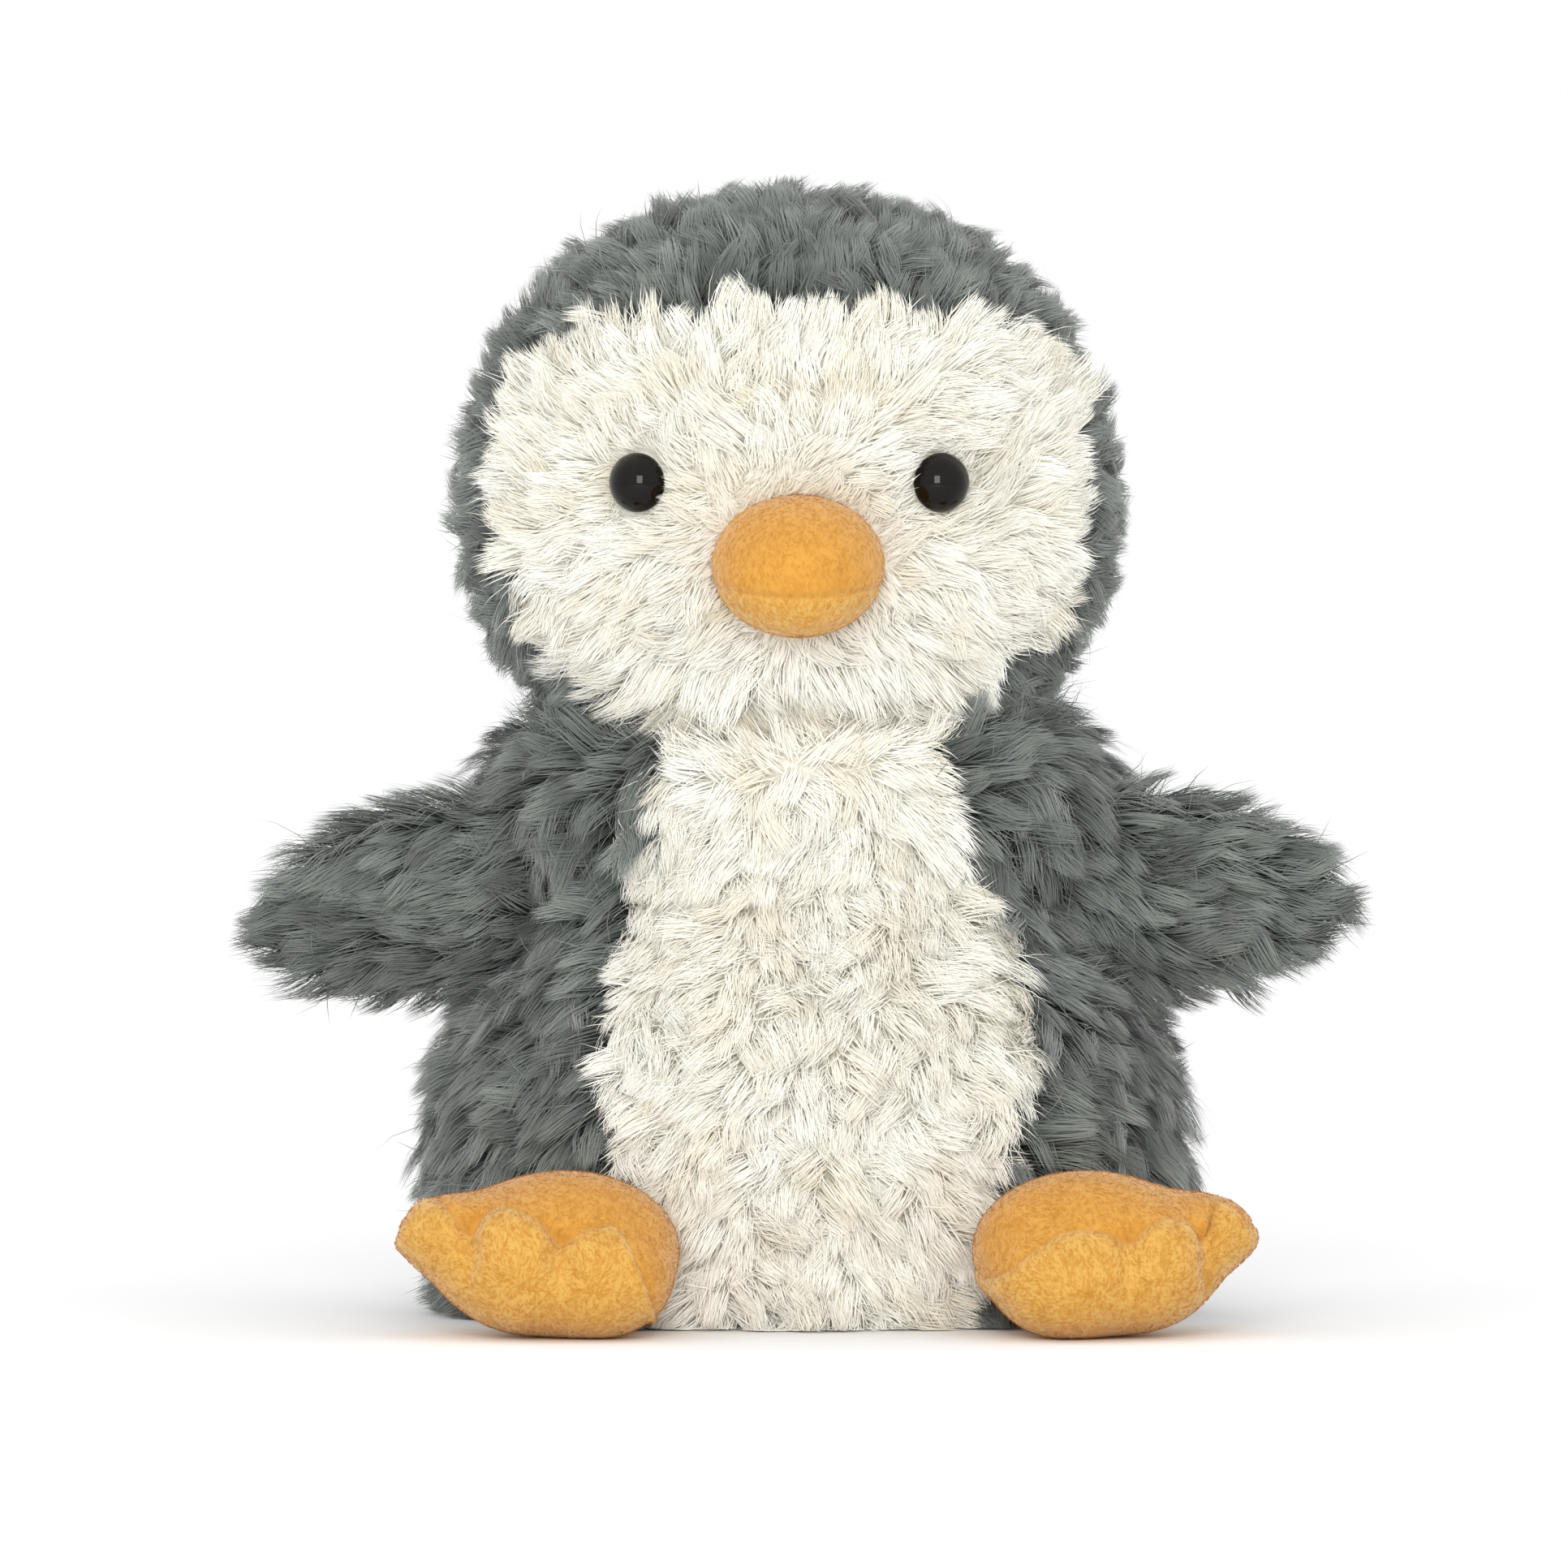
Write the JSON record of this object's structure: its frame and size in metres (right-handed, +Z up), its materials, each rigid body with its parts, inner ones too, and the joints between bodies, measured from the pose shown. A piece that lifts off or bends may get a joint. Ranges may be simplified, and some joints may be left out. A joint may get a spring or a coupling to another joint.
{
  "type": "plush penguin",
  "caption": "Sitting plush penguin with a pear-shaped body, round head, two flippers and two three-toed feet; soft sewn panels over filling, with a soft neck and flapping flippers.",
  "frame": {"origin": "on the surface that the toy sits on, under the middle of the toy's bounding box", "axes": "+Z up; the toy faces -Y; +X towards the toy's left"},
  "size_m": [0.1727, 0.117, 0.1765],
  "materials": {
    "grey_pile": "matte",
    "cream_pile": "matte",
    "orange_fleece": "matte",
    "fibre_filling": "matte",
    "pouch_cloth": "matte",
    "pellets": "satin",
    "eye_plastic": "gloss",
    "washer_plastic": "satin"
  },
  "bodies": {
    "torso": {"belly_panel": "cream_pile", "left_side_panel": "grey_pile", "right_side_panel": "grey_pile", "base_panel": "grey_pile", "body_filling": "fibre_filling", "bean_pouch_upper": "pouch_cloth", "bean_pouch_lower": "pouch_cloth", "bean_pellets": "pellets"},
    "neck": {"neck_filling": "fibre_filling"},
    "head": {"face_panel": "cream_pile", "left_hood_panel": "grey_pile", "right_hood_panel": "grey_pile", "head_filling": "fibre_filling", "left_eye": "eye_plastic", "right_eye": "eye_plastic", "left_eye_washer": "washer_plastic", "right_eye_washer": "washer_plastic", "beak_upper_panel": "orange_fleece", "beak_lower_panel": "orange_fleece", "beak_filling": "fibre_filling"},
    "left_flipper": {"left_flipper_front_panel": "grey_pile", "left_flipper_back_panel": "grey_pile", "left_flipper_filling": "fibre_filling"},
    "left_foot": {"left_foot_upper_panel": "orange_fleece", "left_foot_sole_panel": "orange_fleece", "left_foot_filling": "fibre_filling"},
    "right_flipper": {"right_flipper_front_panel": "grey_pile", "right_flipper_back_panel": "grey_pile", "right_flipper_filling": "fibre_filling"},
    "right_foot": {"right_foot_upper_panel": "orange_fleece", "right_foot_sole_panel": "orange_fleece", "right_foot_filling": "fibre_filling"}
  },
  "joints": [
    {"name": "head_turn", "type": "hinge", "parent": "torso", "child": "neck", "pos_m": [-0.0003, 0.0116, 0.098], "axis": [0, 0, 1], "range_deg": [-20, 20], "stiffness_Nm_per_rad": 0.1},
    {"name": "head_nod", "type": "hinge", "parent": "neck", "child": "head", "pos_m": [-0.0003, 0.0116, 0.098], "axis": [1, 0, 0], "range_deg": [-10, 10], "stiffness_Nm_per_rad": 0.15},
    {"name": "left_flipper_raise", "type": "hinge", "parent": "torso", "child": "left_flipper", "pos_m": [0.0527, 0.0016, 0.066], "axis": [0, -1, 0], "range_deg": [-15, 35], "stiffness_Nm_per_rad": 0.012},
    {"name": "right_flipper_raise", "type": "hinge", "parent": "torso", "child": "right_flipper", "pos_m": [-0.0513, 0.0016, 0.066], "axis": [0, 1, 0], "range_deg": [-15, 35], "stiffness_Nm_per_rad": 0.012},
    {"name": "left_foot_flex", "type": "hinge", "parent": "torso", "child": "left_foot", "pos_m": [0.0457, -0.0289, 0.011], "axis": [-1, 0, 0], "range_deg": [0, 20], "stiffness_Nm_per_rad": 0.03},
    {"name": "right_foot_flex", "type": "hinge", "parent": "torso", "child": "right_foot", "pos_m": [-0.0363, -0.0294, 0.011], "axis": [-1, 0, 0], "range_deg": [0, 20], "stiffness_Nm_per_rad": 0.03}
  ]
}
